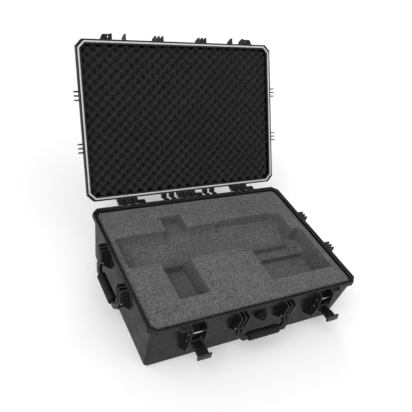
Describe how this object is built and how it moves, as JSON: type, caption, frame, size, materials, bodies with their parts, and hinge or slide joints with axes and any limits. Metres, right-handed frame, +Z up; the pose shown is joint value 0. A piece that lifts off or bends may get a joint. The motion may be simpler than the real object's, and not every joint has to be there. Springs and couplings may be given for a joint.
{
  "type": "hard carry case with foam insert",
  "caption": "Hard-shell carry case standing open, with a hinged lid lined in egg-crate foam, a cut foam block in the base, draw latches and swinging carry handles.",
  "frame": {"origin": "centre of the base's flat underside, on the floor", "axes": "+Z up, +X along the long side, -Y towards the latch side, +Y towards the hinges"},
  "size_m": [0.8736, 1.0002, 0.7007],
  "materials": {
    "shell_plastic": "satin",
    "latch_plastic": "satin",
    "grip_rubber": "matte",
    "seal_rubber": "matte",
    "gasket_silicone": "satin",
    "lid_foam": "matte",
    "base_foam": "matte",
    "steel": "satin"
  },
  "bodies": {
    "base": {"base_shell": "shell_plastic", "base_foam_insert": "base_foam", "base_foam_pad": "base_foam", "hinge_pins": "steel", "latch_link_pins": "steel", "latch_stop_pins": "steel", "handle_pins": "steel", "valve_seal": "seal_rubber", "valve_body": "latch_plastic", "valve_nut": "latch_plastic"},
    "lid": {"lid_shell": "shell_plastic", "lid_gasket": "gasket_silicone", "lid_foam": "lid_foam"},
    "link_left": {"latch_link_left": "latch_plastic", "latch_hook_pin_left": "steel"},
    "hook_left": {"latch_hook_left": "latch_plastic"},
    "link_right": {"latch_link_right": "latch_plastic", "latch_hook_pin_right": "steel"},
    "hook_right": {"latch_hook_right": "latch_plastic"},
    "handle_front": {"handle_bail_front": "latch_plastic", "handle_grip_front": "grip_rubber"},
    "handle_left": {"handle_bail_left": "latch_plastic", "handle_grip_left": "grip_rubber"},
    "handle_right": {"handle_bail_right": "latch_plastic", "handle_grip_right": "grip_rubber"},
    "purge_knob": {"valve_knob": "latch_plastic"}
  },
  "joints": [
    {"name": "lid_hinge", "type": "hinge", "parent": "base", "child": "lid", "pos_m": [0, 0.2943, 0.2012], "axis": [1, 0, 0], "range_deg": [0, 122.05]},
    {"name": "latch_link_left", "type": "hinge", "parent": "base", "child": "link_left", "pos_m": [-0.2465, -0.2876, 0.1426], "axis": [-1, 0, 0], "range_deg": [0, 72.3]},
    {"name": "latch_hook_left", "type": "hinge", "parent": "link_left", "child": "hook_left", "pos_m": [-0.2465, -0.2969, 0.1498], "axis": [-1, 0, 0], "range_deg": [-34, 20.7]},
    {"name": "latch_link_right", "type": "hinge", "parent": "base", "child": "link_right", "pos_m": [0.2465, -0.2876, 0.1426], "axis": [-1, 0, 0], "range_deg": [0, 72.3]},
    {"name": "latch_hook_right", "type": "hinge", "parent": "link_right", "child": "hook_right", "pos_m": [0.2465, -0.2969, 0.1498], "axis": [-1, 0, 0], "range_deg": [-40, 14.7]},
    {"name": "handle_swing_front", "type": "hinge", "parent": "base", "child": "handle_front", "pos_m": [0, -0.2931, 0.1446], "axis": [-1, 0, 0], "range_deg": [-28, 70]},
    {"name": "handle_swing_left", "type": "hinge", "parent": "base", "child": "handle_left", "pos_m": [-0.4151, 0, 0.1446], "axis": [0, 1, 0], "range_deg": [-8, 90]},
    {"name": "handle_swing_right", "type": "hinge", "parent": "base", "child": "handle_right", "pos_m": [0.4151, 0, 0.1446], "axis": [0, -1, 0], "range_deg": [-8, 90]},
    {"name": "purge_knob_turn", "type": "hinge", "parent": "base", "child": "purge_knob", "pos_m": [0.006, -0.278, 0.146], "axis": [0, -1, 0], "range_deg": [0, 180]}
  ]
}
